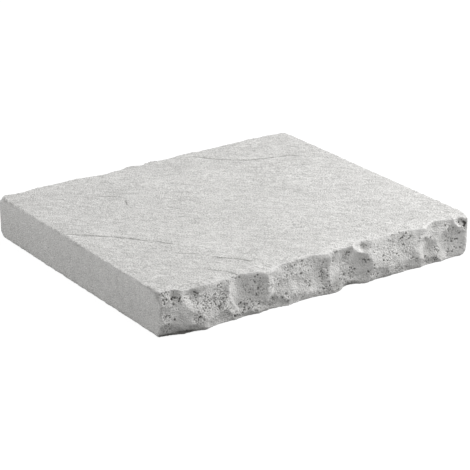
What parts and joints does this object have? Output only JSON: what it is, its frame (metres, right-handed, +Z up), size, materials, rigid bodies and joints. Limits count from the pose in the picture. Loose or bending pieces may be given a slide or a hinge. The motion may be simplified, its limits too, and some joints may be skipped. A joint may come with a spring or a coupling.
{
  "type": "wall coping stone",
  "caption": "Flat rectangular cast-stone coping slab for capping a wall, with a riven top, rock-faced long edges and plain butting ends.",
  "frame": {"origin": "centre of the flat bed, the underside that lies on the wall", "axes": "+X along the wall, parallel to the rock-faced long edges; +Y across the wall; +Z up, out of the riven top"},
  "size_m": [0.4, 0.355, 0.05],
  "materials": {
    "cast_stone": "matt light grey cast concrete, riven on top, rock-faced and finely pitted on the long edges, smooth on the plain ends"
  },
  "bodies": {
    "root": {"coping_stone": "cast_stone"}
  },
  "joints": []
}
